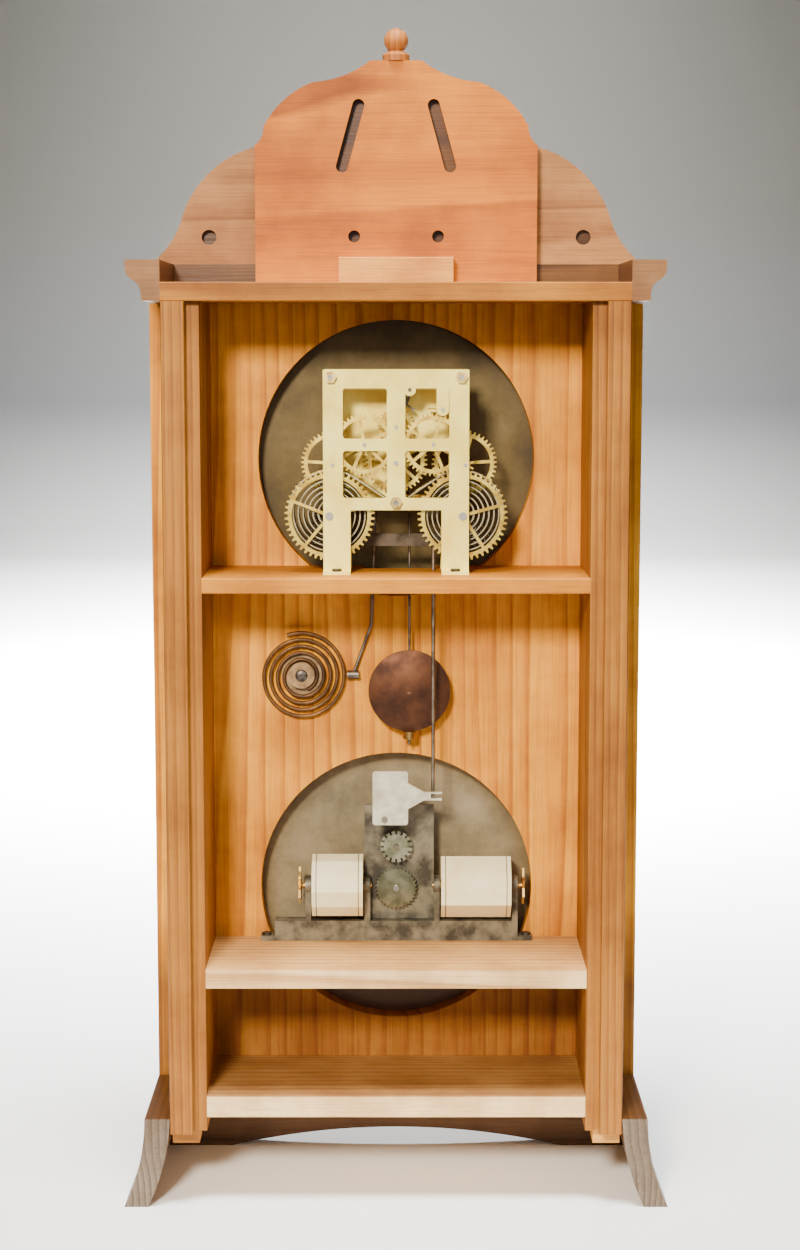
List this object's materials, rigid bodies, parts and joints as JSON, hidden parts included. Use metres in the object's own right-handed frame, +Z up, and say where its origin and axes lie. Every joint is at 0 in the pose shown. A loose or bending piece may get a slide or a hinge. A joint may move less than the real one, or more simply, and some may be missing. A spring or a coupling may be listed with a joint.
{
  "type": "double-dial calendar shelf clock",
  "caption": "Wooden shelf clock with an open back, a gabled crest, a time dial over a calendar dial, a spring-driven striking movement, a pendulum and a roller calendar.",
  "frame": {"origin": "middle of the resting feet, at floor level", "axes": "+Z up, +Y from the open back towards the dials, +X to the right as seen from the open back"},
  "size_m": [0.362, 0.136, 0.779],
  "materials": {
    "walnut_case": "oiled walnut",
    "pine_inside": "bare pine",
    "brass": "rolled brass",
    "steel": "drawn steel",
    "blued_steel": "blued steel",
    "cast_iron": "japanned casting",
    "zinc_dial": "zinc sheet, painted on the dial side",
    "silvered_brass": "tinned brass",
    "paper_roller": "paper on wood",
    "glass": "clear sheet glass"
  },
  "bodies": {
    "case": {"left_side_board": "walnut_case", "right_side_board": "walnut_case", "bottom_board": "pine_inside", "lower_shelf": "pine_inside", "top_board": "pine_inside", "front_board": "walnut_case", "skirt_front": "walnut_case", "skirt_sides": "walnut_case", "glue_blocks": "pine_inside", "seat_board": "pine_inside", "cornice": "walnut_case", "crest_board": "walnut_case", "crest_scrolls": "walnut_case", "crest_finial": "walnut_case", "time_dial": "zinc_dial", "calendar_dial": "zinc_dial", "bezel_hinge_leaves": "brass", "bezel_hinge_pins": "steel", "bezel_catches": "brass", "movement_front_plate": "brass", "movement_back_plate": "brass", "movement_pillars": "steel", "pillar_nuts": "brass", "movement_studs": "steel", "time_mainspring": "steel", "strike_mainspring": "steel", "gong": "blued_steel", "gong_base": "cast_iron", "calendar_frame": "cast_iron", "round_head_screws": "steel"},
    "minute_hand_body": {"minute_hand": "blued_steel", "centre_arbor": "brass"},
    "time_great_body": {"time_great_wheel": "brass"},
    "time_second_body": {"time_second_wheel": "brass"},
    "time_third_body": {"time_third_wheel": "brass"},
    "escape_body": {"escape_wheel": "brass"},
    "motion_body": {"motion_wheel": "brass"},
    "hour_hand_body": {"hour_hand": "blued_steel", "hour_wheel": "brass"},
    "strike_third_body": {"strike_third_wheel": "brass"},
    "strike_second_body": {"strike_second_wheel": "brass"},
    "strike_great_body": {"strike_great_wheel": "brass"},
    "fly_body": {"strike_fly": "brass"},
    "pendulum": {"pendulum_rod": "steel", "pendulum_bob": "brass", "rating_nut": "brass"},
    "verge": {"verge_and_crutch": "steel"},
    "date_hand_body": {"date_hand": "blued_steel", "date_wheel": "brass"},
    "weekday_roller_body": {"weekday_roller": "paper_roller"},
    "month_roller_body": {"month_roller": "paper_roller"},
    "programme_body": {"programme_wheel": "brass"},
    "hammer": {"strike_hammer": "steel"},
    "time_bezel_body": {"time_bezel": "brass", "time_glass": "glass"},
    "calendar_bezel_body": {"calendar_bezel": "brass", "calendar_glass": "glass"},
    "link": {"calendar_link": "steel"},
    "calendar_lever_body": {"calendar_lever": "silvered_brass"},
    "lift_lever_body": {"lift_lever": "steel"}
  },
  "joints": [
    {"name": "minute_hand_turn", "type": "hinge", "parent": "case", "child": "minute_hand_body", "pos_m": [0, 0, 0.493], "axis": [0, -1, 0], "continuous": true},
    {"name": "time_great_turn", "type": "hinge", "parent": "case", "child": "time_great_body", "pos_m": [-0.044, -0.01, 0.458], "axis": [0, -1, 0], "continuous": true},
    {"name": "time_second_turn", "type": "hinge", "parent": "case", "child": "time_second_body", "pos_m": [-0.04185, -0.01, 0.49153], "axis": [0, -1, 0], "continuous": true},
    {"name": "time_third_turn", "type": "hinge", "parent": "case", "child": "time_third_body", "pos_m": [-0.02078, -0.01, 0.505], "axis": [0, -1, 0], "continuous": true},
    {"name": "escape_turn", "type": "hinge", "parent": "case", "child": "escape_body", "pos_m": [0, -0.01, 0.51649], "axis": [0, -1, 0], "continuous": true},
    {"name": "motion_turn", "type": "hinge", "parent": "case", "child": "motion_body", "pos_m": [0, 0.01, 0.481], "axis": [0, -1, 0], "continuous": true},
    {"name": "hour_hand_turn", "type": "hinge", "parent": "case", "child": "hour_hand_body", "pos_m": [0, 0.02, 0.493], "axis": [0, -1, 0], "continuous": true},
    {"name": "strike_great_turn", "type": "hinge", "parent": "case", "child": "strike_great_body", "pos_m": [0.044, -0.01, 0.458], "axis": [0, -1, 0], "continuous": true},
    {"name": "strike_second_turn", "type": "hinge", "parent": "case", "child": "strike_second_body", "pos_m": [0.04558, -0.01, 0.49156], "axis": [0, -1, 0], "continuous": true},
    {"name": "strike_third_turn", "type": "hinge", "parent": "case", "child": "strike_third_body", "pos_m": [0.0245, -0.01, 0.505], "axis": [0, -1, 0], "continuous": true},
    {"name": "fly_turn", "type": "hinge", "parent": "case", "child": "fly_body", "pos_m": [0.03065, -0.01, 0.52794], "axis": [0, -1, 0], "continuous": true},
    {"name": "pendulum_swing", "type": "hinge", "parent": "case", "child": "pendulum", "pos_m": [0.009, 0.016, 0.544], "axis": [0, -1, 0], "range_deg": [-4, 4]},
    {"name": "verge_swing", "type": "hinge", "parent": "case", "child": "verge", "pos_m": [0.009, 0, 0.541], "axis": [0, -1, 0], "range_deg": [-4, 4]},
    {"name": "date_hand_turn", "type": "hinge", "parent": "case", "child": "date_hand_body", "pos_m": [0, 0.02, 0.196], "axis": [0, -1, 0], "continuous": true},
    {"name": "weekday_roller_turn", "type": "hinge", "parent": "case", "child": "weekday_roller_body", "pos_m": [0.055, 0.021, 0.198], "axis": [1, 0, 0], "continuous": true},
    {"name": "month_roller_turn", "type": "hinge", "parent": "case", "child": "month_roller_body", "pos_m": [-0.0405, 0.021, 0.198], "axis": [1, 0, 0], "continuous": true},
    {"name": "programme_turn", "type": "hinge", "parent": "case", "child": "programme_body", "pos_m": [0, 0.017, 0.226], "axis": [0, -1, 0], "continuous": true},
    {"name": "hammer_swing", "type": "hinge", "parent": "case", "child": "hammer", "pos_m": [-0.014, 0.0245, 0.466], "axis": [0, -1, 0], "range_deg": [0, 10], "stiffness_Nm_per_rad": 0.01, "springref_deg": -14.9},
    {"name": "time_bezel_swing", "type": "hinge", "parent": "case", "child": "time_bezel_body", "pos_m": [0.1061, 0.05, 0.493], "axis": [0, 0, -1], "range_deg": [0, 110]},
    {"name": "calendar_bezel_swing", "type": "hinge", "parent": "case", "child": "calendar_bezel_body", "pos_m": [0.1061, 0.05, 0.196], "axis": [0, 0, -1], "range_deg": [0, 110]},
    {"name": "link_lift", "type": "slide", "parent": "case", "child": "link", "axis": [0, 0, 1], "range_m": [0, 0.006]},
    {"name": "calendar_lever_turn", "type": "hinge", "parent": "case", "child": "calendar_lever_body", "pos_m": [-0.008, -0.005, 0.25], "axis": [0, -1, 0], "range_deg": [0, 11]},
    {"name": "lift_lever_turn", "type": "hinge", "parent": "case", "child": "lift_lever_body", "pos_m": [-0.033, 0.0018, 0.44], "axis": [0, -1, 0], "range_deg": [0, 6.5]}
  ],
  "couplings": [
    {"joint": "time_third_turn", "follows": "minute_hand_turn", "ratio": -5},
    {"joint": "escape_turn", "follows": "minute_hand_turn", "ratio": 26.25},
    {"joint": "time_second_turn", "follows": "minute_hand_turn", "ratio": 0.95238},
    {"joint": "time_great_turn", "follows": "minute_hand_turn", "ratio": -0.15873},
    {"joint": "motion_turn", "follows": "minute_hand_turn", "ratio": -0.33333},
    {"joint": "hour_hand_turn", "follows": "minute_hand_turn", "ratio": 0.083333},
    {"joint": "strike_second_turn", "follows": "strike_third_turn", "ratio": -0.19048},
    {"joint": "strike_great_turn", "follows": "strike_third_turn", "ratio": 0.031746},
    {"joint": "fly_turn", "follows": "strike_third_turn", "ratio": -5.25},
    {"joint": "verge_swing", "follows": "pendulum_swing", "ratio": 1},
    {"joint": "weekday_roller_turn", "follows": "date_hand_turn", "ratio": 4.4286},
    {"joint": "month_roller_turn", "follows": "date_hand_turn", "ratio": 0.083333},
    {"joint": "programme_turn", "follows": "date_hand_turn", "ratio": 0.020833},
    {"joint": "calendar_lever_turn", "follows": "link_lift", "rad_per_m": 28.8},
    {"joint": "lift_lever_turn", "follows": "link_lift", "rad_per_m": 17.24}
  ]
}
